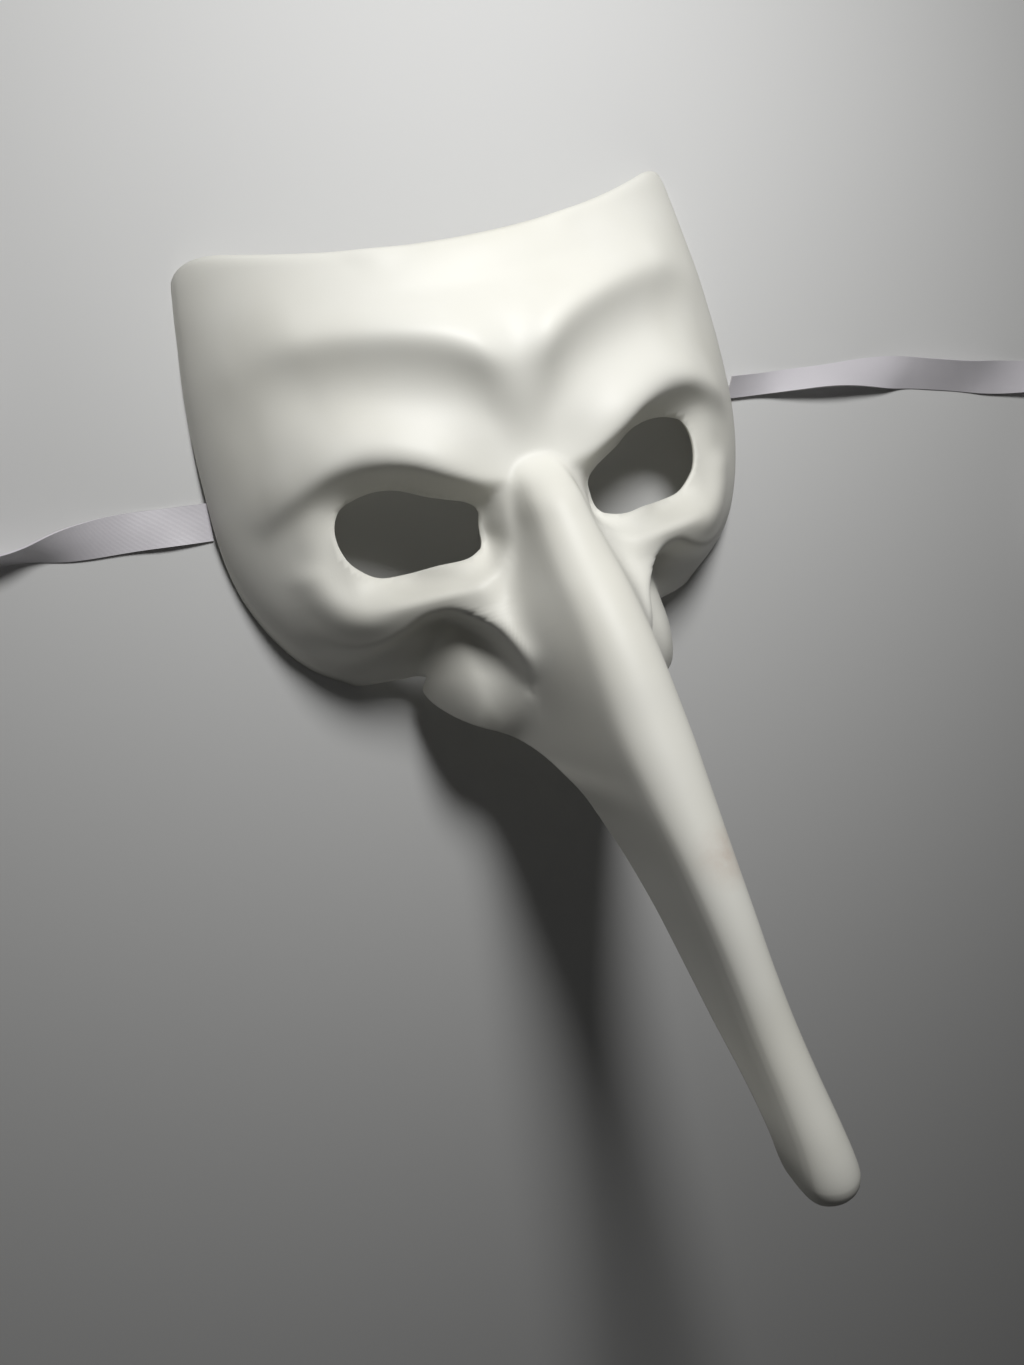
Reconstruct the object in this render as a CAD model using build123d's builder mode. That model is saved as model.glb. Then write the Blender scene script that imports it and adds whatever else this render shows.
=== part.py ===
from build123d import *
import os
from math import copysign, cos, exp, hypot, pi, radians, tan

os.makedirs("parts", exist_ok=True)

# Long-nosed carnival half mask, lying on its rim with the beak up. X is across the face, Y runs from
# the beak up to the forehead and Z is height above the table.
# The mask is one thin vacuum-formed plastic shell with two satin ribbons glued inside its sides.

wall = 1.3  # sheet thickness
eye_line = 39.8  # Y of the inner eye corners, measured from the middle of the mask's length
rim_half = 80.0  # half of the mask's greatest width, at the temples
beak_tip = -159.0  # beak tip, below the eye line
cheek_end = -43.0  # lower edge of the cheeks, below the eye line
brow_edge = 65.0  # middle of the top edge, above the eye line
brow_corner_rise = 12.0  # how far the top corners stand above its middle
brow_corner_half = 66.0  # half the distance between the top corners

ribbon_width = 10.0
ribbon_thick = 0.5
ribbon_length = 500.0  # each, from the rim to its cut end
ribbon_line = 11.6  # the ribbons leave below the rim here, above the eye line
rim_exit = 79.5  # distance of that point from the middle
coil_radius = 50.0  # middle of the put-away turns
coil_spread = 3.5  # the turns lie this far each side of the middle


# The face's bare dome, as (height above eye line, half width on the table, crown height). Nose,
# brows and eye sockets are added by surface_height.
face_stations = [
    (84.0, 54.0, 21.0),
    (78.5, 64.5, 25.0),
    (73.0, 69.8, 27.5),
    (66.0, 72.2, 30.5),
    (56.0, 74.3, 36.0),
    (46.0, 76.2, 39.5),
    (36.0, 77.6, 41.5),
    (27.0, 78.7, 42.0),
    (18.0, 79.5, 41.5),
    (9.0, rim_half, 40.5),
    (0.0, 79.6, 40.0),
    (-8.0, 78.3, 40.5),
    (-16.0, 76.0, 42.0),
    (-24.0, 72.6, 42.0),
    (-31.0, 68.2, 38.5),
    (-37.5, 62.5, 31.0),
    (cheek_end, 56.0, 21.5),
    (cheek_end - 5.0, 49.0, 12.0),
]

# Nose and beak, as (height above eye line, ridge height, half width of the rounded ridge, half width
# at the lower edge, height of the lower edge). Above the cheek edge the lower edge is inside the face.
beak_stations = [
    (10.0, 43.0, 6.5, 10.0, 26.0),
    (5.0, 49.0, 8.5, 12.0, 25.0),
    (-4.0, 53.0, 9.0, 14.5, 23.0),
    (-14.0, 61.5, 10.0, 19.0, 20.0),
    (-24.0, 69.5, 10.5, 25.0, 17.0),
    (-34.0, 75.0, 11.0, 31.5, 14.5),
    (-43.5, 78.5, 11.2, 36.0, 14.5),
    (-52.5, 81.5, 11.2, 33.0, 27.5),
    (-61.0, 84.8, 11.0, 23.0, 46.0),
    (-70.0, 88.0, 10.6, 16.4, 55.5),
    (-84.0, 94.8, 9.0, 12.4, 66.0),
    (-98.0, 100.5, 8.0, 10.4, 77.5),
    (-111.0, 105.5, 7.5, 9.3, 86.5),
    (-123.0, 111.0, 7.2, 8.7, 95.5),
    (-134.0, 117.2, 7.2, 8.2, 104.5),
    (-144.0, 123.2, 7.2, 8.1, 111.0),
    (-153.0, 126.3, 6.4, 7.2, 114.5),
    (beak_tip, 124.5, 3.6, 4.0, 117.5),
]


def bump(x, y, x_mid, y_mid, x_size, y_size):
    """Smooth rounded hump of height 1, the same on both halves of the face."""
    return exp(-(((abs(x) - x_mid) / x_size) ** 2) - ((y - y_mid) / y_size) ** 2)


def surface_height(x, y, half, crown):
    """Height of the moulded face over the table at x and y, y above the eye line."""
    side = 1.0 - (x / half) ** 2
    dome = copysign(crown * abs(side) ** 0.74, side)
    brow = 4.0 * bump(x, y, 30.0, 46.0, 20.0, 9.0)
    under_brow = -2.5 * bump(x, y, 30.0, 34.0, 18.0, 7.0)
    ridge = 3.5 * bump(x, y, 39.0, 22.0, 18.0, 7.0)
    socket = -6.5 * bump(x, y, 30.0, 4.0, 20.0, 11.0)
    bag = 2.5 * bump(x, y, 43.0, -20.0, 14.0, 7.0)
    furrow = -2.0 * bump(x, y, 0.0, 42.0, 7.0, 12.0)
    return dome + (brow + under_brow + ridge + socket + bag + furrow) * min(1.0, max(0.0, side * 2.5))


def face_outline(y, half, crown, inset):
    """Upper side of one cross-section of the face, moved in by the inset, a little past the rims."""
    steps = 24
    near = 0.05
    points = []
    for index in range(steps + 1):
        x = -1.03 * half * cos(pi * index / steps)
        z = surface_height(x, y, half, crown)
        rise = surface_height(x + near, y, half, crown) - surface_height(x - near, y, half, crown)
        size = hypot(rise, 2 * near)
        points.append((x + inset * rise / size, z - inset * 2 * near / size))
    return points


def face_solid(inset):
    """Closed solid under the face, which is the hollow when it is inset."""
    floor = -9.0 if inset else -7.0
    with BuildPart() as solid:
        for y, half, crown in face_stations:
            points = face_outline(y, half, crown, inset)
            with BuildSketch(Plane.XZ.offset(-(y + eye_line))):
                with BuildLine():
                    Spline(*points)
                    Polyline(points[-1], (points[-1][0], floor), (points[0][0], floor), points[0])
                make_face()
        loft()
    return solid.part


def beak_solid(inset):
    """Closed solid under the nose and beak, the hollow when inset."""
    with BuildPart() as solid:
        for y, ridge, ridge_half, edge_half, edge in beak_stations:
            drop = 3.0 if inset else 0.0
            top_half = ridge_half - inset
            top = ridge - inset
            shoulder = ridge - ridge_half * 0.9
            low_half = edge_half - inset
            back = min(1.0, inset) if y == beak_tip else 0.0
            with BuildSketch(Plane.XZ.offset(-(y + eye_line + back))):
                with BuildLine():
                    ThreePointArc((-top_half, shoulder), (0, top), (top_half, shoulder))
                    Polyline(
                        (top_half, shoulder),
                        (low_half, edge - drop),
                        (-low_half, edge - drop),
                        (-top_half, shoulder),
                    )
                make_face()
        loft()
    return solid.part


# Mask shell: the formed sheet, trimmed to its outline, with two eye holes.
outer_face = face_solid(0)
outer_beak = beak_solid(0)
inner_face = face_solid(wall)
inner_beak = beak_solid(wall)

edge_radius = (brow_corner_half**2 + brow_corner_rise**2) / (2 * brow_corner_rise)
arch_height = 2.4
arch_half = 24.0
arch_radius = (arch_half**2 + arch_height**2) / (2 * arch_height)
# right eye hole as (x, y above the eye line, corner radius)
eye_corners = [
    (16.4, 0.4, 1.8),
    (41.5, 10.2, 8.0),
    (53.2, 4.5, 6.0),
    (46.5, -12.6, 10.0),
    (17.2, -10.6, 3.0),
]

with BuildPart() as shell:
    add(outer_face)
    # straight lower edge of the cheeks
    with Locations((0, eye_line + cheek_end - 20, 20)):
        Box(200, 40, 60, mode=Mode.SUBTRACT)
    add(outer_beak)
    add(inner_face, mode=Mode.SUBTRACT)
    add(inner_beak, mode=Mode.SUBTRACT)
    # the rim lies flat on the table
    with Locations((0, 0, -10)):
        Box(200, 300, 20, mode=Mode.SUBTRACT)
    # concave top edge
    with BuildSketch(Plane.XY.offset(-5)):
        with Locations((0, eye_line + brow_edge + edge_radius)):
            Circle(edge_radius)
    extrude(amount=120, mode=Mode.SUBTRACT)
    # eye holes
    for side in (1, -1):
        corners = [(side * x, y + eye_line) for x, y, radius in eye_corners]
        radii = [radius for x, y, radius in eye_corners]
        with BuildSketch(Plane.XY.offset(8)):
            with BuildLine():
                FilletPolyline(*corners, radius=radii, close=True)
            make_face()
        extrude(amount=50, mode=Mode.SUBTRACT)
    # the rim lifts a little where the ribbons pass under it
    with BuildSketch(Plane.YZ.offset(-rim_half - 5)):
        with Locations((eye_line + ribbon_line, arch_height - arch_radius)):
            Circle(arch_radius)
    extrude(amount=2 * rim_half + 10, mode=Mode.SUBTRACT)

shell.part.label = "mask_shell"
export_step(shell.part, "parts/mask_shell.step")


# Ribbons. Each is glued inside the side wall, bends out below the rim and lies on the table. Its
# unused length stands on edge in an open coil.

# middle line of the glued end, as (distance from the middle, height)
tab_line = [
    (rim_exit - 0.7, ribbon_thick / 2),
    (77.4, ribbon_thick / 2),
    (74.9, 3.6),
    (71.0, 8.2),
    (66.2, 13.0),
]

# routes along the table, as (x, y above the eye line), the last one where the coil starts
left_route = [
    (-rim_exit, 11.7),
    (-89.5, 12.9),
    (-101.0, 14.5),
    (-113.5, 15.1),
    (-127.0, 15.4),
    (-141.0, 17.0),
    (-154.5, 18.7),
    (-166.5, 19.5),
    (-178.0, 19.6),
]
right_route = [
    (rim_exit, 11.5),
    (89.5, 10.2),
    (101.5, 8.9),
    (115.0, 7.3),
    (129.0, 5.3),
    (143.0, 2.2),
    (157.5, -1.8),
    (172.0, -5.7),
    (187.0, -9.0),
    (202.0, -11.7),
    (217.0, -13.7),
    (232.0, -14.9),
    (246.0, -15.1),
]


def make_tab(side):
    """Glued end of a ribbon, a strip that follows the inside of the wall down to the rim."""
    half = ribbon_thick / 2
    lower = []
    upper = []
    for index, (x, z) in enumerate(tab_line):
        before = tab_line[max(0, index - 1)]
        after = tab_line[min(len(tab_line) - 1, index + 1)]
        run = after[0] - before[0]
        rise = after[1] - before[1]
        size = hypot(run, rise)
        lower.append((side * (x + half * rise / size), z - half * run / size))
        upper.append((side * (x - half * rise / size), z + half * run / size))
    with BuildPart() as tab:
        with BuildSketch(Plane.XZ.offset(-(eye_line + ribbon_line - ribbon_width / 2))):
            with BuildLine():
                Polyline(*lower, *reversed(upper), close=True)
            make_face()
        extrude(amount=-ribbon_width)
    return tab.part


def make_dab(side, tab):
    """Hot-melt dab over the end of the tab, against the shell."""
    low, high = tab_line[-2], tab_line[-1]
    slope = Vector(side * (high[0] - low[0]), 0, high[1] - low[1]).normalized()
    into_wall = Vector(side * slope.Z, 0, -slope.X * side).normalized()
    if into_wall.Z < 0:
        into_wall = into_wall * -1
    middle = Vector(side * (high[0] + 1.0), eye_line + ribbon_line, high[1] - 1.0)
    with BuildPart() as dab:
        with BuildSketch(Plane(origin=middle - into_wall * 2.2, z_dir=into_wall)):
            Circle(6.6)
        extrude(amount=3.6)
        add(tab, mode=Mode.SUBTRACT)
        add(shell.part, mode=Mode.SUBTRACT)
    return dab.part


def make_ribbon(route):
    """Free stretch of a ribbon, flat on the table, straight runs joined by arcs."""
    points = [Vector(x, y + eye_line, ribbon_thick / 2) for x, y in route]
    radii = []
    for before, corner, after in zip(points, points[1:], points[2:]):
        turn = (corner - before).get_angle(after - corner)
        run = min((corner - before).length, (after - corner).length)
        radii.append(0.45 * run / tan(radians(turn / 2)))
    with BuildPart() as ribbon:
        with BuildLine() as path:
            FilletPolyline(*points, radius=radii)
        middle_line = path.wires()[0]
        along = middle_line % 0
        with BuildSketch(Plane(origin=middle_line @ 0, x_dir=along.cross(Vector(0, 0, 1)), z_dir=along)):
            Rectangle(ribbon_width, ribbon_thick)
        sweep()
    length = middle_line.length
    share = ribbon.part.volume / (length * ribbon_width * ribbon_thick)
    print("radii", [round(radius) for radius in radii], "length", round(length, 1), "share", round(share, 4))
    return ribbon.part, length


def make_coil(route, turn_side):
    """Outer shape of the put-away turns, standing on edge over the end of the flat stretch."""
    x, y = route[-1]
    with BuildPart() as coil:
        with BuildSketch(Plane.XY.offset(ribbon_thick)):
            with Locations((x, y + eye_line + turn_side * coil_radius)):
                Circle(coil_radius + coil_spread)
                Circle(coil_radius - coil_spread, mode=Mode.SUBTRACT)
        extrude(amount=ribbon_width - ribbon_thick)
    return coil.part


for name, side, route, turn_side in (("left", -1, left_route, 1), ("right", 1, right_route, -1)):
    tab = make_tab(side)
    tab.label = name + "_ribbon_tab"
    export_step(tab, "parts/" + name + "_ribbon_tab.step")

    dab = make_dab(side, tab)
    dab.label = name + "_glue_dab"
    export_step(dab, "parts/" + name + "_glue_dab.step")

    ribbon, length = make_ribbon(route)
    ribbon.label = name + "_ribbon"
    export_step(ribbon, "parts/" + name + "_ribbon.step")

    coil = make_coil(route, turn_side)
    coil.label = name + "_ribbon_coil"
    export_step(coil, "parts/" + name + "_ribbon_coil.step")
    print(name, "turns in the coil", round((ribbon_length - length) / (2 * pi * coil_radius), 3))
print("shell size", shell.part.bounding_box().size)
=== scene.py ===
import math
import bpy
import numpy as np
from mathutils import Matrix, Vector


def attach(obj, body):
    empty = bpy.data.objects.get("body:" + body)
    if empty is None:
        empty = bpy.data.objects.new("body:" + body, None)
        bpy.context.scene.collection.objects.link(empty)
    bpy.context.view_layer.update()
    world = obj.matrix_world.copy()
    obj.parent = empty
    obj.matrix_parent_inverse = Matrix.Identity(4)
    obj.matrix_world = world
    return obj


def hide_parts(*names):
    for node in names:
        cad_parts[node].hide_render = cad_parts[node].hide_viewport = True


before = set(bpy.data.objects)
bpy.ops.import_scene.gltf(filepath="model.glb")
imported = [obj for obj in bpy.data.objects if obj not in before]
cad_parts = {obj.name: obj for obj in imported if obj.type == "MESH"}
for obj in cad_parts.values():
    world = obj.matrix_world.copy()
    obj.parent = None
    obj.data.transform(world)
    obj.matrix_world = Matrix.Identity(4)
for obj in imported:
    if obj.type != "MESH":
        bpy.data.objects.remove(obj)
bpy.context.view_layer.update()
print("model loaded, nodes:", len(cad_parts))

mm = 0.001
# the eye line is this far up the mask from its middle
eyeLine = 39.8


# camera
view = {
    "place": (-0.0943, 0.0663, 0.2931),
    "right": (0.915, -0.231, 0.332),
    "up": (0.301, 0.937, -0.178),
    "lens": 27.69,
}
cameraData = bpy.data.cameras.new("camera")
cameraData.lens = view["lens"]
cameraData.sensor_width = 36
cameraData.clip_start = 0.01
camera = bpy.data.objects.new("camera", cameraData)
bpy.context.scene.collection.objects.link(camera)
rightAxis = Vector(view["right"]).normalized()
upAxis = Vector(view["up"])
upAxis = (upAxis - rightAxis * upAxis.dot(rightAxis)).normalized()
backAxis = rightAxis.cross(upAxis)
turned = Matrix((rightAxis, upAxis, backAxis)).transposed().to_4x4()
camera.matrix_world = Matrix.Translation(view["place"]) @ turned
bpy.context.scene.camera = camera
print("camera set")


# small helpers
def makeMesh(name, points, faces):
    mesh = bpy.data.meshes.new(name)
    mesh.from_pydata([tuple(point) for point in points], [], [tuple(face) for face in faces])
    mesh.update()
    thing = bpy.data.objects.new(name, mesh)
    bpy.context.scene.collection.objects.link(thing)
    return thing


# smooth line through a few points, flat beyond its ends
def smoothCurve(at, knots, heights):
    knots = np.array(knots, float)
    heights = np.array(heights, float)
    slopes = np.gradient(heights, knots)
    at = np.clip(at, knots[0], knots[-1])
    index = np.clip(np.searchsorted(knots, at) - 1, 0, len(knots) - 2)
    gap = knots[index + 1] - knots[index]
    t = (at - knots[index]) / gap
    first = (1 + 2 * t) * (1 - t) ** 2 * heights[index] + t * (1 - t) ** 2 * gap * slopes[index]
    last = t * t * (3 - 2 * t) * heights[index + 1] + t * t * (t - 1) * gap * slopes[index + 1]
    return first + last


def ease(t):
    t = np.clip(t, 0, 1)
    return t * t * (3 - 2 * t)


def smoothMax(first, second, blend):
    gap = np.clip(blend - np.abs(first - second), 0, None)
    return np.maximum(first, second) + gap * gap / (4 * blend)


# distance to a line through a few points
def distanceTo(x, y, line, closed=False):
    pairs = list(zip(line, line[1:]))
    if closed:
        pairs.append((line[-1], line[0]))
    nearest = np.full(np.shape(x), 1e9)
    for (ax, ay), (bx, by) in pairs:
        size = (bx - ax) ** 2 + (by - ay) ** 2
        t = np.clip(((x - ax) * (bx - ax) + (y - ay) * (by - ay)) / size, 0, 1)
        nearest = np.minimum(nearest, np.hypot(x - ax - t * (bx - ax), y - ay - t * (by - ay)))
    return nearest


# true inside a closed line
def isInside(x, y, line):
    inside = np.zeros(np.shape(x), bool)
    for (ax, ay), (bx, by) in zip(line, line[1:] + line[:1]):
        if ay == by:
            continue
        crosses = ((ay > y) != (by > y)) & (x < ax + (y - ay) * (bx - ax) / (by - ay))
        inside ^= crosses
    return inside


# more points on a smooth curve through the few that are given
def roundLine(line, steps=3, closed=False):
    line = np.array(line, float)
    if closed:
        line = np.vstack([line[-2:], line, line[:2]])
    gaps = np.hypot(*np.diff(line, axis=0).T)
    along = np.concatenate([[0], np.cumsum(gaps)])
    low, high = (along[2], along[-2]) if closed else (0, along[-1])
    count = steps * len(line)
    at = np.linspace(low, high, count, endpoint=not closed)
    return [
        (float(px), float(py))
        for px, py in zip(smoothCurve(at, along, line[:, 0]), smoothCurve(at, along, line[:, 1]))
    ]


# ribbons
ribbon = {
    "width": 10.0,
    "thickness": 0.35,
    "length": 0.5,
    "coilRadius": 50.0,
    "coilOuter": 52.6,
    "coilInner": 47.2,
    "turnPoints": 16,
    "strips": 6,
}

# routes along the table, x and y above the eye line, the last one where the coil starts
leftRoute = [
    (-79.5, 11.7),
    (-89.5, 12.9),
    (-101.0, 14.5),
    (-113.5, 15.1),
    (-127.0, 15.4),
    (-141.0, 17.0),
    (-154.5, 18.7),
    (-166.5, 19.5),
    (-178.0, 19.6),
]
rightRoute = [
    (79.5, 11.5),
    (89.5, 10.2),
    (101.5, 8.9),
    (115.0, 7.3),
    (129.0, 5.3),
    (143.0, 2.2),
    (157.5, -1.8),
    (172.0, -5.7),
    (187.0, -9.0),
    (202.0, -11.7),
    (217.0, -13.7),
    (232.0, -14.9),
    (246.0, -15.1),
]
# how far each ribbon is turned on its edge, in degrees, at distances from the rim
leftTurn = ([0, 12, 24, 36, 46, 56, 80, 98], [4, -6, 8, 34, 66, 80, 88, 90])
rightTurn = (
    [0, 10, 22, 34, 46, 56, 66, 78, 92, 104, 118, 145, 168],
    [-30, -12, 22, 36, 28, 8, -22, -32, -28, -6, 14, 50, 90],
)
# share of the full width left where each ribbon is folded lengthwise, at distances from the rim
leftFold = ([0, 98], [1, 1])
rightFold = ([0, 14, 28, 44, 60, 168], [0.72, 0.64, 0.78, 0.92, 1, 1])


# how high the ribbon's middle is when its lower edge touches the table
def halfHeight(turn):
    return ribbon["width"] / 2 * abs(math.sin(math.radians(turn))) + 0.6


# the ribbon's middle line as a smooth curve with the route as its control points
def ribbonLine(name, route, turns, coilSide, coilTurns):
    controls = []
    gone = 0.0
    for index, (x, y) in enumerate(route):
        if index:
            gone += math.hypot(x - route[index - 1][0], y - route[index - 1][1])
        lift = halfHeight(float(smoothCurve(gone, *turns)))
        controls.append((x * mm, (y + eyeLine) * mm, lift * mm))
    endX, endY = route[-1]
    way = 1 if endX > 0 else -1
    middleY = endY + eyeLine + coilSide * ribbon["coilRadius"]
    count = round(ribbon["turnPoints"] * coilTurns)
    spin = way * coilSide
    for index in range(1, count + 1):
        angle = spin * 2 * math.pi * coilTurns * index / count - coilSide * math.pi / 2
        share = index / count
        outer = ribbon["coilRadius"] + (ribbon["coilOuter"] - ribbon["coilRadius"]) * min(1.0, share * 4)
        radius = outer + (ribbon["coilInner"] - outer) * max(0.0, share - 0.15) / 0.85
        controls.append(
            (
                (endX + radius * math.cos(angle)) * mm,
                (middleY + radius * math.sin(angle)) * mm,
                halfHeight(90) * mm,
            )
        )
    curve = bpy.data.curves.new(name, "CURVE")
    curve.dimensions = "3D"
    curve.resolution_u = 12
    spline = curve.splines.new("NURBS")
    spline.points.add(len(controls) - 1)
    for point, place in zip(spline.points, controls):
        point.co = (*place, 1)
    spline.order_u = 3
    spline.use_endpoint_u = True
    carrier = bpy.data.objects.new(name, curve)
    bpy.context.scene.collection.objects.link(carrier)
    bpy.context.view_layer.update()
    line = bpy.data.meshes.new_from_object(carrier)
    points = [Vector(vertex.co) for vertex in line.vertices]
    bpy.data.objects.remove(carrier)
    bpy.data.meshes.remove(line)
    return points


# flat ribbon along the line, turned about it by the given angles
def makeStrip(name, points, turns, folds):
    width = ribbon["width"] * mm
    thick = ribbon["thickness"] * mm
    strips = ribbon["strips"]
    vertices = []
    faces = []
    around = 2 * (strips + 1)
    gone = 0.0
    for index, point in enumerate(points):
        before = points[max(0, index - 1)]
        after = points[min(len(points) - 1, index + 1)]
        if index:
            gone += (point - before).length / mm
        ahead = (after - before).normalized()
        flat = ahead.cross(Vector((0, 0, 1))).normalized()
        turn = math.radians(float(smoothCurve(gone, *turns)))
        across = flat * math.cos(turn) + Vector((0, 0, 1)) * math.sin(turn)
        face = ahead.cross(across).normalized()
        spread = width * float(smoothCurve(gone, *folds))
        for side in (1, -1):
            for step in range(strips + 1):
                share = step / strips if side == 1 else 1 - step / strips
                edge = abs(share - 0.5) * 2
                # woven edges are a little thicker than the middle
                half = thick * (0.5 + 0.16 * max(0.0, edge - 0.8) / 0.2)
                vertices.append(point + across * spread * (share - 0.5) + face * half * side)
    for index in range(len(points) - 1):
        for step in range(around):
            a = index * around + step
            b = index * around + (step + 1) % around
            faces.append((a, b, b + around, a + around))
    last = (len(points) - 1) * around
    for start in (0, last):
        for step in range(strips):
            quad = (start + step, start + step + 1, start + around - 2 - step, start + around - 1 - step)
            faces.append(quad if start else quad[::-1])
    piece = makeMesh(name, vertices, faces)
    piece.data.polygons.foreach_set("use_smooth", [True] * len(piece.data.polygons))
    piece.data.set_sharp_from_angle(angle=math.radians(50))
    # lengthwise and crosswise places in metres, for the weave
    layer = piece.data.uv_layers.new(name="along")
    lengths = [0.0]
    for first, second in zip(points, points[1:]):
        lengths.append(lengths[-1] + (second - first).length)
    for loop in piece.data.loops:
        ring, step = divmod(loop.vertex_index, around)
        share = step / strips if step <= strips else 1 - (step - strips - 1) / strips
        layer.data[loop.index].uv = (lengths[ring], share * width)
    return piece


ribbonPieces = []
for name, route, turns, folds, coilSide, coilTurns in (
    ("left", leftRoute, leftTurn, leftFold, 1, 1.277),
    ("right", rightRoute, rightTurn, rightFold, -1, 1.053),
):
    points = ribbonLine(name + "_line", route, turns, coilSide, coilTurns)
    piece = makeStrip(name + "_satin_ribbon", points, turns, folds)
    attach(piece, "root")
    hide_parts(name + "_ribbon", name + "_ribbon_coil")
    ribbonPieces.append(piece)
print("ribbons made:", len(ribbonPieces))


# mask shell
# all sizes here are in millimetres, x from the middle and y from the eye line
shell = {
    "wall": 1.2,
    "rowGap": 1.0,
    "alaRowGap": 0.8,
    "beakRowGap": 1.4,
    "innerColumns": 70,
    "outerColumns": 48,
    "divide": 37.0,
    "domePower": 0.68,
    "soften": 0.8,
    "archRise": 2.4,
    "archHalf": 24.0,
    "archPlace": 11.6,
    "cornerWide": 19.0,
    "cornerHigh": 7.5,
    "browCrest": 3.4,
    "browTrough": 2.6,
    "orbitRise": 3.6,
    "rootDepth": 2.6,
    "topDepth": 1.6,
    "ringRise": 2.0,
    "recessDepth": 8.0,
    "creaseDepth": 19.0,
    "lip": 0.8,
    "lipReach": 2.6,
}

domeRows = [-48, -43, -37.5, -31, -24, -16, -8, 0, 9, 18, 27, 36, 46, 56, 66, 73, 78.5, 84]
domeHalf = [49, 56, 63, 68.4, 72.6, 76, 78.3, 79.6, 80, 79.5, 78.7, 77.6, 76.2, 74.3, 72.4, 70.6, 67.5, 60]
domeCrown = [12, 21.5, 31, 38.5, 42, 42, 40.5, 40, 40.5, 41.5, 42, 41.5, 39.5, 36, 30.5, 27.5, 25, 21]

noseRows = [
    -160.2, -159.4, -158, -156, -153, -149, -144, -134, -123, -111, -98, -84, -70, -61, -52.5, -43.5, -34,
    -24, -16, -8, 0, 5, 8, 11, 14, 18, 26,
]
noseRidge = [
    117, 121, 124, 126, 127, 126.2, 124, 118.3, 112.2, 107, 101.8, 95.6, 88.8, 84.6, 80.6, 76.8, 72.2,
    66.2, 60.2, 55, 50, 44.4, 38.6, 31.5, 24, 8, -40,
]
noseRound = [
    3.2, 4.6, 5.7, 6.4, 6.8, 6.7, 6.4, 6, 5.9, 5.9, 6.4, 7.3, 8.7, 9.5, 9.8, 9.7, 9.5,
    9.2, 8.8, 8, 7.4, 6.6, 6, 5.4, 5, 5, 5,
]
# the lower edge's distance from the middle and its height
edgeRows = [
    -160.2, -159.4, -158, -156, -153, -149, -144, -134, -123, -111, -98, -84, -70, -63.6, -61.9, -59.6,
    -57.7, -54.1, -50.9, -47.8, -43.5,
]
beakEdge = [
    1.6, 3.4, 5, 6.3, 7.3, 7.9, 8, 8.2, 8.7, 9.3, 10.3, 12.3, 16.3, 19.8, 21.6, 24.8,
    28.3, 34, 37.1, 38.3, 37.2,
]
edgeHeight = [
    116, 115.8, 115.4, 115, 114.6, 113.4, 111.5, 104.5, 95, 86, 77, 66, 55.5, 50, 45, 36,
    31, 24, 19, 16.5, 14.7,
]

browLine = ([0, 8, 17, 27, 34, 45, 55, 66], [33, 36.5, 42, 46, 48, 50, 49.5, 46])
orbitLine = ([0, 11, 18, 27, 36, 43.5, 50, 60, 68], [3, 6, 9, 13.5, 17.8, 19.6, 18.8, 14.5, 10])
# fold beside the nose that runs down from under the eye, as (y, middle, height)
foldLine = [
    (-58, 11, 0),
    (-51, 12.5, 28),
    (-45.5, 14, 43.5),
    (-39, 15.2, 49.6),
    (-30, 17.2, 46.2),
    (-22, 20, 41.5),
    (-14, 22, 36.5),
    (-6, 23, 28),
]
ringLine = roundLine(
    [(61, -8), (60, -11.5), (56.4, -17.8), (50, -20.8), (42.6, -19), (32.6, -18.4), (24, -20)]
)
creaseLine = roundLine(
    [
        (72, -4),
        (65.5, -15),
        (61.5, -22.8),
        (56, -27.3),
        (50.6, -28.2),
        (43, -25.4),
        (37, -22.2),
        (32, -22.2),
        (26, -25),
        (21, -30),
        (18.9, -34),
        (17.8, -38),
        (17.5, -44),
    ]
)
recessShape = creaseLine + [(17.5, -70), (95, -70), (95, -4)]
socketLine = roundLine(
    [
        (9, 5),
        (15, 6.6),
        (24, 10),
        (33, 14.4),
        (42, 16.4),
        (50, 16.2),
        (56.5, 12.8),
        (60.5, 7.5),
        (61.5, 0),
        (60, -6),
        (56, -15.5),
        (50, -18.6),
        (42.6, -18.8),
        (32.6, -18.2),
        (24, -18),
        (17, -16),
        (12, -11.5),
        (10.5, -4),
    ],
    closed=True,
)
eyeLineShape = roundLine(
    [
        (16, -0.6),
        (18.6, 1.8),
        (22, 3.2),
        (27, 5.2),
        (34.7, 8.9),
        (39.5, 9.8),
        (45, 9.2),
        (49.6, 7.4),
        (51.6, 4.6),
        (52.4, -1.2),
        (51.2, -5.4),
        (48.5, -8.8),
        (45.1, -11.4),
        (38, -12.6),
        (30.3, -11.9),
        (20, -11.3),
        (17.4, -10.2),
        (16.2, -5),
    ],
    closed=True,
)


# the face ends and the free beak begins at this row
faceEnd = -43.0
# the top edge is part of a circle with this radius
edgeRadius = (66**2 + 12**2) / (2 * 12)


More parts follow.
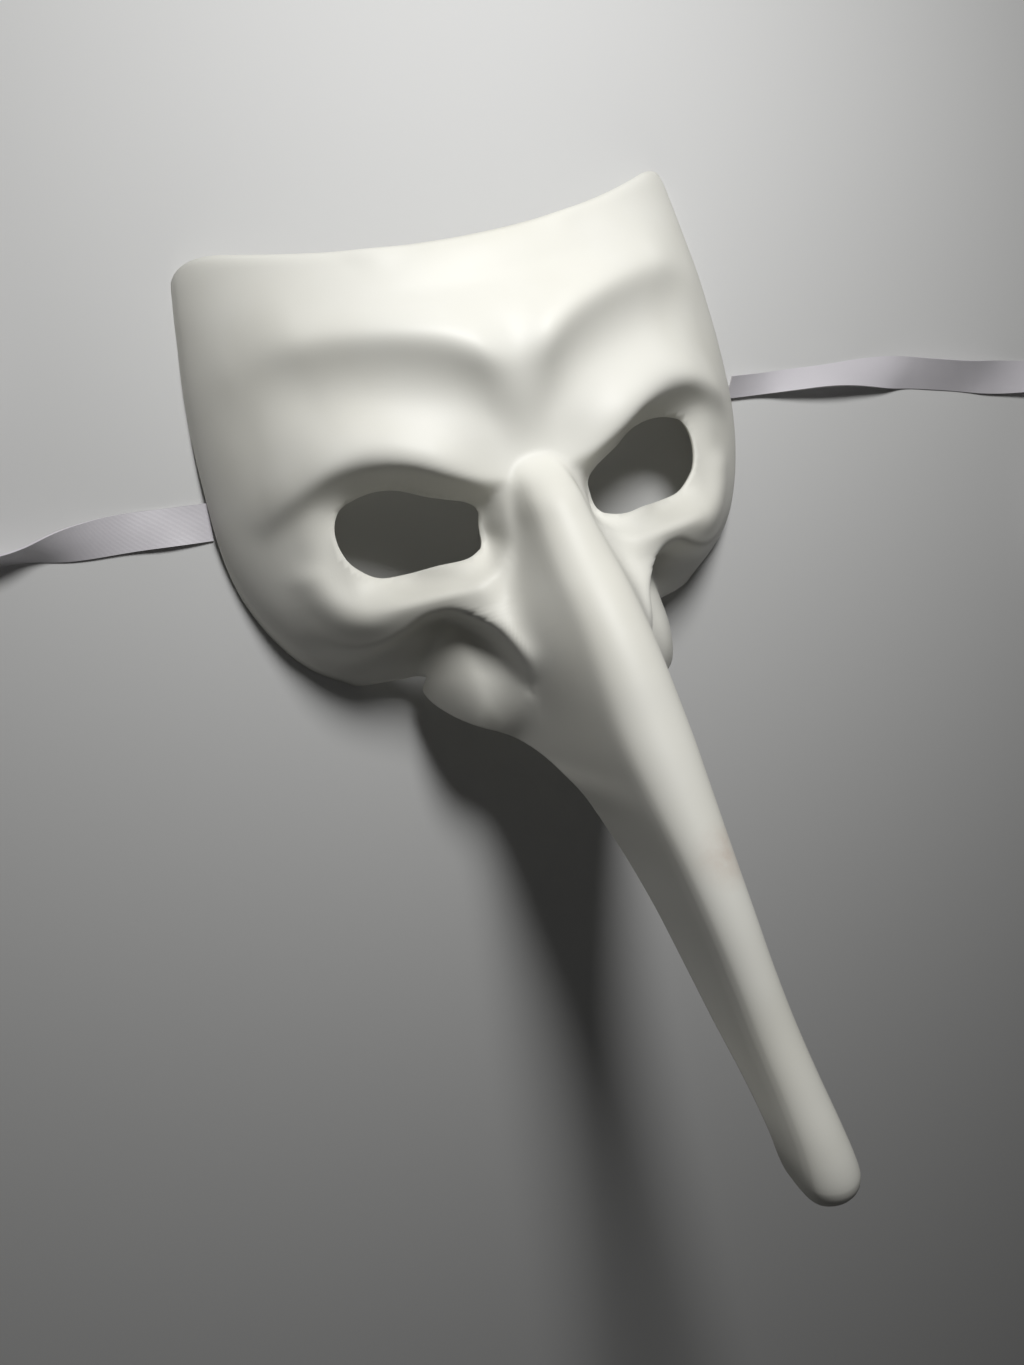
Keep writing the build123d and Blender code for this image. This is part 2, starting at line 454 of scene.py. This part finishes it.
# nose and beak, a rounded ridge with straight flanks down to the lower edges
def noseHeight(x, y):
    ridge = smoothCurve(y, noseRows, noseRidge)
    radius = smoothCurve(y, noseRows, noseRound)
    edge = smoothCurve(y, edgeRows, beakEdge)
    drop = ridge - smoothCurve(y, edgeRows, edgeHeight)
    low = np.full(np.shape(y), math.radians(50.0))
    high = np.full(np.shape(y), math.radians(84.0))
    for step in range(14):
        angle = (low + high) / 2
        reach = radius * (1 - np.cos(angle)) + (edge - radius * np.sin(angle)) * np.tan(angle)
        low = np.where(reach < drop, angle, low)
        high = np.where(reach < drop, high, angle)
    # the nose's flanks are less steep beside the cheeks and at its upper end
    steep = np.radians(75.0 - 8 * np.exp(-(((y + 30) / 16) ** 2)) - 12 * ease((y + 1) / 12))
    angle = angle + (steep - angle) * ease((y + 78) / 12)
    turn = radius * np.sin(angle)
    roundPart = radius - np.sqrt(np.clip(radius**2 - np.minimum(x, turn) ** 2, 0, None))
    return ridge - roundPart - np.clip(x - turn, 0, None) * np.tan(angle)


# flared wing beside the nose, which runs out into the beak's lower edge
def alaHeight(x, y):
    out = np.maximum(x - 27, -9)
    flare = np.where(out > 0, 0.6 * out + 0.125 * out**2, 0.6 * out - 0.06 * out**2)
    bottom = 0.9 * np.clip(-64 - y, 0, None)
    up = np.maximum(y, -64) + 49
    fall = np.where(up < 7, 0.034 * up**2, 0.4 * up - 1.13)
    return 35 - fall - flare - bottom


# height of the moulded face over the table
def faceHeight(x, y):
    x = np.abs(x)
    half = smoothCurve(y, domeRows, domeHalf)
    crown = smoothCurve(y, domeRows, domeCrown)
    across = 1 - (x / half) ** 2
    dome = crown * np.sign(across) * np.abs(across) ** shell["domePower"]
    spread = np.clip(across * 3, 0, 1)
    # distance from the middle, rounded off so that the brows meet smoothly
    soft = np.sqrt(x * x + 16)

    # brow step
    over = y - smoothCurve(soft, *browLine)
    strength = ease((soft + 1) / 12) * (0.25 + 0.75 * ease((64 - x) / 16)) * ease((74 - x) / 10)
    crest = shell["browCrest"] * np.exp(-((np.where(over > 0, over / 8, over / 6.5)) ** 2))
    trough = -shell["browTrough"] * np.exp(-(((over + 15) / 8.5) ** 2))
    dome = dome + (crest + trough) * strength * spread

    # ridge over the eye
    over = y - smoothCurve(soft, *orbitLine)
    rise = shell["orbitRise"] * np.exp(-((np.where(over > 0, over / 7.5, over / 5)) ** 2))
    rise = rise * (1 + 0.35 * np.exp(-(((x - 52) / 9) ** 2)))
    dome = dome + rise * ease((soft - 6) / 22) * ease((76 - x) / 16) * spread

    # shallow hollow along the top of the forehead, and another above the nose
    dome = dome - shell["topDepth"] * np.exp(-(((y - 53) / 6) ** 2)) * ease((62 - x) / 25)
    dome = dome - shell["rootDepth"] * np.exp(-((x / 17) ** 2) - ((y - 12) / 10) ** 2)

    # ring under the eye
    rise = shell["ringRise"] * ease((4 - y) / 14)
    dome = dome + rise * np.exp(-((distanceTo(x, y, ringLine) / 4.5) ** 2))

    # eye socket
    toEdge = np.where(isInside(x, y, socketLine), distanceTo(x, y, socketLine), 0)
    toHole = np.where(isInside(x, y, eyeLineShape), 0, distanceTo(x, y, eyeLineShape))
    share = toEdge / (toEdge + toHole + 0.001)
    inner = np.exp(-(((x - 15) / 9) ** 2))
    corner = np.exp(-(((x - 50) / 7) ** 2) - ((y - 7) / 6) ** 2)
    floor = 25.3 + inner * (4.2 + 0.42 * (y + 5)) - 0.35 * np.clip(x - 51, 0, None) - 1.2 * corner
    above = ease((y + 2) / 8)
    rounded = 0.35 + 0.65 * ease((x - 47) / 9) + 0.5 * ease((26 - x) / 6)
    level = share + (ease(share) - share) * rounded
    dome = dome + (floor - dome) * (level + (share**1.3 - level) * above)

    # cheek under the ring is set back
    toCrease = np.where(isInside(x, y, recessShape), distanceTo(x, y, creaseLine), 0)
    fade = ease((y + 50) / 18) * ease((70 - x) / 20)
    onset = 4 + ease((x - 28) / 6) + 4 * ease((x - 46) / 12)
    depth = shell["recessDepth"] + 4 * np.exp(-(((x - 25) / 9) ** 2))
    dome = dome - depth * ease(toCrease / onset) * fade

    dome = smoothMax(dome, alaHeight(x, y), 3.0)
    foldY, foldX, foldZ = zip(*foldLine)
    fold = smoothCurve(y, foldY, foldZ) - 0.05 * (x - smoothCurve(y, foldY, foldX)) ** 2
    nose = smoothMax(noseHeight(x, y), fold, 5.5 + 6 * np.exp(-(((y + 12) / 9) ** 2)))
    nose = nose - shell["creaseDepth"] * ease(toCrease / 5) * ease((y + 50) / 7)
    return smoothMax(dome, nose, 4.0)


# face height with its creases softened, as a formed sheet has them
def shellHeight(x, y):
    reach = shell["soften"]
    total = 0
    weights = 0
    for dx in (-1, 0, 1):
        for dy in (-1, 0, 1):
            weight = (1, 0.55, 0.3)[abs(dx) + abs(dy)]
            total = total + weight * faceHeight(x + dx * reach, y + dy * reach)
            weights += weight
    # the sheet rolls down a little along its top edge
    toTop = 64.4 + edgeRadius - np.sqrt(edgeRadius**2 - np.minimum(np.abs(x), 80) ** 2) - y
    roll = np.clip(1 - toTop / shell["lipReach"], 0, 1.5) ** 2
    return total / weights - shell["lip"] * roll


# the rim lies on the table, and arches a little over the ribbons
def rimHeight(y):
    t = (y - shell["archPlace"]) / shell["archHalf"]
    return shell["archRise"] * np.clip(1 - t * t, 0, None)


# column places across half of one section, evenly spaced along its surface
def sectionColumns(y):
    fine = np.linspace(0, 82, 420)
    heights = faceHeight(fine, np.full(fine.shape, float(y)))
    inner, outer = shell["innerColumns"], shell["outerColumns"]
    run = np.concatenate([[0], np.cumsum(np.hypot(np.diff(fine), np.diff(heights)))])
    if y < faceEnd:
        edge = float(smoothCurve(y, edgeRows, beakEdge))
        end = np.interp(edge, fine, run)
        return np.interp(np.linspace(0, end, inner + 1), run, fine), None, None
    low = heights < float(rimHeight(y))
    low[fine < 40] = False
    last = int(np.argmax(low))
    a, b = heights[last - 1] - rimHeight(y), heights[last] - rimHeight(y)
    edge = fine[last - 1] + (fine[last] - fine[last - 1]) * a / (a - b)
    start = np.interp(shell["divide"], fine, run)
    end = np.interp(edge, fine, run)
    t = np.linspace(0, 1, outer + 1)
    # closer columns at the rim
    t = t + 0.12 * np.sin(math.pi * t) * t
    return (
        np.interp(np.linspace(0, start, inner + 1), run, fine),
        np.interp(start + (end - start) * t, run, fine),
        end - (start + (end - start) * t),
    )


print("shaping the shell")
inner, outer = shell["innerColumns"], shell["outerColumns"]
tableRows = np.arange(faceEnd, 84.1, 2.0)
tableX = []
tableToRim = []
for y in tableRows:
    near, far, toRim = sectionColumns(y)
    tableX.append(np.concatenate([near, far[1:]]))
    tableToRim.append(np.concatenate([np.full(inner, 99.0), toRim]))
tableX = np.array(tableX)
tableToRim = np.array(tableToRim)


def columnX(column, y):
    return np.interp(y, tableRows, tableX[:, column])


# top edge, a hollow curve with rounded corners
columns = inner + outer + 1
topEdge = np.full(columns, 65.0)
for column in range(columns):
    top = 70.0
    for step in range(6):
        x = float(columnX(column, top))
        top = 64.4 + edgeRadius - math.sqrt(edgeRadius**2 - x * x)
    toRim = float(np.interp(top, tableRows, tableToRim[:, column]))
    if toRim < shell["cornerWide"]:
        share = 1 - toRim / shell["cornerWide"]
        top -= shell["cornerHigh"] * (1 - math.sqrt(1 - share * share))
    topEdge[column] = top

faceRows = int(73 / shell["rowGap"])
upperRows = int(40 / shell["rowGap"])
grid = []
for row in range(faceRows + 1):
    y = -43 + 73 * row / faceRows
    grid.append([(float(columnX(column, y)), y) for column in range(columns)])
for row in range(1, upperRows + 1):
    share = row / upperRows
    line = []
    for column in range(columns):
        y = 30 + (topEdge[column] - 30) * share
        line.append((float(columnX(column, y)), y))
    grid.append(line)

beakRows = [faceEnd]
while beakRows[-1] > -151:
    beakRows.append(beakRows[-1] - (shell["alaRowGap"] if beakRows[-1] > -65 else shell["beakRowGap"]))
beakRows += [-152.8, -154, -155.1, -156.1, -157, -157.8, -158.5, -159.1, -159.5, -159.9, -160.2]

# vertices: right half, then its mirror, sharing the middle line
places = []
numbers = {}


def addPlace(key, x, y):
    numbers[key] = len(places)
    places.append((x, y))


faces = []
for row, line in enumerate(grid):
    for column in range(-(columns - 1), columns):
        x, y = line[abs(column)]
        addPlace(("face", row, column), math.copysign(x, column) if column else 0.0, y)
for row in range(1, len(beakRows)):
    near, far, toRim = sectionColumns(beakRows[row])
    for column in range(-inner, inner + 1):
        x = math.copysign(near[abs(column)], column) if column else 0.0
        addPlace(("beak", row, column), x, beakRows[row])
for column in range(-inner, inner + 1):
    numbers[("beak", 0, column)] = numbers[("face", 0, column)]
for row in range(len(grid) - 1):
    for column in range(-(columns - 1), columns - 1):
        faces.append([numbers[("face", row + b, column + a)] for a, b in ((0, 0), (1, 0), (1, 1), (0, 1))])
for row in range(len(beakRows) - 1):
    for column in range(-inner, inner):
        faces.append([numbers[("beak", row + b, column + a)] for a, b in ((0, 1), (1, 1), (1, 0), (0, 0))])
places = np.array(places)
faces = np.array(faces)

# eye holes: drop the faces inside, pull the cut line onto the outline
centres = places[faces].mean(axis=1)
gone = isInside(np.abs(centres[:, 0]), centres[:, 1], eyeLineShape)
holeFaces = faces[gone]
faces = faces[~gone]
onCut = np.intersect1d(holeFaces, faces)
outline = np.array(eyeLineShape)
starts, ends = outline, np.roll(outline, -1, axis=0)
for vertex in onCut:
    x, y = abs(places[vertex][0]), places[vertex][1]
    way = ends - starts
    t = (x - starts[:, 0]) * way[:, 0] + (y - starts[:, 1]) * way[:, 1]
    t = np.clip(t / (way**2).sum(axis=1), 0, 1)
    near = starts + way * t[:, None]
    best = np.argmin(np.hypot(near[:, 0] - x, near[:, 1] - y))
    places[vertex] = (math.copysign(near[best][0], places[vertex][0]), near[best][1])
used, faces = np.unique(faces, return_inverse=True)
faces = faces.reshape(-1, 4)
places = places[used]

# the two halves are alike, so each height is worked out once
x, y = places[:, 0], places[:, 1]
half, back = np.unique(np.round(np.stack([np.abs(x), y], axis=1), 5), axis=0, return_inverse=True)
back = back.reshape(-1)
step = 0.3
level = shellHeight(half[:, 0], half[:, 1])
slopeX = (shellHeight(half[:, 0] + step, half[:, 1]) - level)[back] / step * np.sign(x)
slopeY = (shellHeight(half[:, 0], half[:, 1] + step) - level)[back] / step
z = level[back]
normals = np.stack([-slopeX, -slopeY, np.ones(len(x))], axis=1)
normals /= np.linalg.norm(normals, axis=1)[:, None]
outside = np.stack([x, y + eyeLine, z], axis=1)
inside = outside - normals * shell["wall"]
inside[:, 2] = np.maximum(inside[:, 2], np.where(y > faceEnd - 0.01, rimHeight(y), 0))
print("shell surface points:", len(outside))

# the cut edge, slightly rounded
directed = np.concatenate([faces[:, [a, (a + 1) % 4]] for a in range(4)])
known = {(int(a), int(b)) for a, b in directed}
rims = [(a, b) for a, b in sorted(known) if (b, a) not in known]
following = {a: b for a, b in rims}
leading = {b: a for a, b in rims}
count = len(outside)
points = [tuple(p) for p in outside] + [tuple(p) for p in inside]
edgePlace = {}
for a in following:
    way = outside[following[a]] - outside[leading[a]]
    way /= np.linalg.norm(way) + 1e-9
    out = np.cross(way, normals[a])
    out /= np.linalg.norm(out) + 1e-9
    edgePlace[a] = len(points)
    for share, push in ((0.2, 0.16), (0.8, 0.16)):
        place = outside[a] + (inside[a] - outside[a]) * share + out * push
        place[2] = max(place[2], 0.0)
        points.append(tuple(place))
allFaces = [tuple(int(v) for v in face) for face in faces]
allFaces += [tuple(int(v) + count for v in face[::-1]) for face in faces]
for a, b in rims:
    chainA = (a, edgePlace[a], edgePlace[a] + 1, a + count)
    chainB = (b, edgePlace[b], edgePlace[b] + 1, b + count)
    for level in range(3):
        allFaces.append((chainB[level], chainA[level], chainA[level + 1], chainB[level + 1]))
mask = makeMesh("moulded_mask", np.array(points) * mm, allFaces)
mask.data.polygons.foreach_set("use_smooth", [True] * len(mask.data.polygons))
mask.data.validate()
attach(mask, "root")
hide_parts("mask_shell")
print("shell made, faces:", len(mask.data.polygons))


# materials
def newMaterial(name):
    material = bpy.data.materials.new(name)
    material.use_nodes = True
    nodes = material.node_tree.nodes
    return material, nodes, material.node_tree.links, nodes["Principled BSDF"]


def noiseNode(nodes, links, coordinates, scale, detail=3.0, rough=0.5):
    noise = nodes.new("ShaderNodeTexNoise")
    noise.inputs["Scale"].default_value = scale
    noise.inputs["Detail"].default_value = detail
    noise.inputs["Roughness"].default_value = rough
    links.new(coordinates, noise.inputs["Vector"])
    return noise


plasticLook = {
    "light": (0.82, 0.812, 0.75, 1),
    "dull": (0.78, 0.768, 0.695, 1),
    "roughness": 0.52,
    "grain": 0.06,
    "scuff": (0.6, 0.47, 0.38, 1),
    "scuffPlace": (0.003, -0.045, 0.094),
    "scuffReach": 0.009,
    "scuffStrength": 0.75,
}
plastic, nodes, links, surface = newMaterial("matte_white_plastic")
place = nodes.new("ShaderNodeTexCoord").outputs["Object"]
cloud = noiseNode(nodes, links, place, 22, 4)
shades = nodes.new("ShaderNodeValToRGB")
shades.color_ramp.elements[0].position = 0.35
shades.color_ramp.elements[0].color = plasticLook["dull"]
shades.color_ramp.elements[1].position = 0.62
shades.color_ramp.elements[1].color = plasticLook["light"]
links.new(cloud.outputs["Fac"], shades.inputs["Fac"])
# faint tan smudge on the beak's ridge
fromScuff = nodes.new("ShaderNodeVectorMath")
fromScuff.operation = "DISTANCE"
fromScuff.inputs[1].default_value = plasticLook["scuffPlace"]
links.new(place, fromScuff.inputs[0])
fade = nodes.new("ShaderNodeMapRange")
fade.inputs["From Min"].default_value = 0.001
fade.inputs["From Max"].default_value = plasticLook["scuffReach"]
fade.inputs["To Min"].default_value = plasticLook["scuffStrength"]
fade.inputs["To Max"].default_value = 0
links.new(fromScuff.outputs["Value"], fade.inputs["Value"])
patches = nodes.new("ShaderNodeMath")
patches.operation = "MULTIPLY"
links.new(fade.outputs["Result"], patches.inputs[0])
links.new(noiseNode(nodes, links, place, 420, 3).outputs["Fac"], patches.inputs[1])
smudge = nodes.new("ShaderNodeMix")
smudge.data_type = "RGBA"
# a mix node's colours are inputs 6 and 7 and output 2
smudge.inputs[7].default_value = plasticLook["scuff"]
links.new(patches.outputs["Value"], smudge.inputs["Factor"])
links.new(shades.outputs["Color"], smudge.inputs[6])
links.new(smudge.outputs[2], surface.inputs["Base Color"])
grain = noiseNode(nodes, links, place, 2600, 2)
bump = nodes.new("ShaderNodeBump")
bump.inputs["Strength"].default_value = plasticLook["grain"]
bump.inputs["Distance"].default_value = 0.0002
links.new(grain.outputs["Fac"], bump.inputs["Height"])
links.new(bump.outputs["Normal"], surface.inputs["Normal"])
surface.inputs["Roughness"].default_value = plasticLook["roughness"]
mask.data.materials.append(plastic)

satinLook = {"light": (0.78, 0.755, 0.79, 1), "dark": (0.66, 0.635, 0.67, 1), "threads": 0.00032}
satin, nodes, links, surface = newMaterial("white_satin")
place = nodes.new("ShaderNodeTexCoord").outputs["UV"]
weave = nodes.new("ShaderNodeTexWave")
weave.bands_direction = "Y"
weave.inputs["Scale"].default_value = 0.314 / satinLook["threads"]
weave.inputs["Distortion"].default_value = 0.4
links.new(place, weave.inputs["Vector"])
shades = nodes.new("ShaderNodeValToRGB")
shades.color_ramp.elements[0].color = satinLook["dark"]
shades.color_ramp.elements[1].color = satinLook["light"]
links.new(weave.outputs["Fac"], shades.inputs["Fac"])
links.new(shades.outputs["Color"], surface.inputs["Base Color"])
bump = nodes.new("ShaderNodeBump")
bump.inputs["Strength"].default_value = 0.3
bump.inputs["Distance"].default_value = 0.0001
links.new(weave.outputs["Fac"], bump.inputs["Height"])
links.new(bump.outputs["Normal"], surface.inputs["Normal"])
surface.inputs["Roughness"].default_value = 0.38
surface.inputs["Anisotropic"].default_value = 0.5
surface.inputs["Sheen Weight"].default_value = 0.25
for piece in ribbonPieces:
    piece.data.materials.append(satin)
for node in ("left_ribbon_tab", "right_ribbon_tab"):
    tab = bpy.data.objects[node]
    tab.data.materials.clear()
    tab.data.materials.append(satin)

glue, nodes, links, surface = newMaterial("cloudy_glue")
place = nodes.new("ShaderNodeTexCoord").outputs["Object"]
cloud = noiseNode(nodes, links, place, 300, 3)
shades = nodes.new("ShaderNodeValToRGB")
shades.color_ramp.elements[0].color = (0.72, 0.66, 0.5, 1)
shades.color_ramp.elements[1].color = (0.82, 0.78, 0.66, 1)
links.new(cloud.outputs["Fac"], shades.inputs["Fac"])
links.new(shades.outputs["Color"], surface.inputs["Base Color"])
surface.inputs["Roughness"].default_value = 0.25
for node in ("left_glue_dab", "right_glue_dab"):
    dab = bpy.data.objects[node]
    dab.data.materials.clear()
    dab.data.materials.append(glue)
print("materials set")


# floor and light
studio = {
    "floor": (0.7, 0.7, 0.69, 1),
    "keyPlace": (0.035, 0.245, 0.27),
    "keyAim": (0, 0.02, 0.04),
    "keySize": 0.1,
    "keyPower": 0.95,
    "fill": 0.035,
}
floor = makeMesh("floor", [(-3, -3, 0), (3, -3, 0), (3, 3, 0), (-3, 3, 0)], [(0, 1, 2, 3)])
floorMaterial, nodes, links, surface = newMaterial("pale_floor")
cloud = noiseNode(nodes, links, nodes.new("ShaderNodeTexCoord").outputs["Object"], 3, 2)
shades = nodes.new("ShaderNodeValToRGB")
shades.color_ramp.elements[0].color = tuple(c * 0.97 for c in studio["floor"][:3]) + (1,)
shades.color_ramp.elements[1].color = studio["floor"]
links.new(cloud.outputs["Fac"], shades.inputs["Fac"])
links.new(shades.outputs["Color"], surface.inputs["Base Color"])
surface.inputs["Roughness"].default_value = 0.9
floor.data.materials.append(floorMaterial)

key = bpy.data.lights.new("key", "AREA")
key.shape = "DISK"
key.size = studio["keySize"]
key.energy = studio["keyPower"]
keyLamp = bpy.data.objects.new("key", key)
bpy.context.scene.collection.objects.link(keyLamp)
keyLamp.location = studio["keyPlace"]
toLight = (Vector(studio["keyPlace"]) - Vector(studio["keyAim"])).normalized()
keyLamp.rotation_mode = "QUATERNION"
keyLamp.rotation_quaternion = toLight.to_track_quat("Z", "Y")
world = bpy.data.worlds.new("studio")
bpy.context.scene.world = world
world.use_nodes = True
world.node_tree.nodes["Background"].inputs["Color"].default_value = (1, 1, 1, 1)
world.node_tree.nodes["Background"].inputs["Strength"].default_value = studio["fill"]
bpy.context.scene.view_settings.view_transform = "Standard"
print("floor and light set")
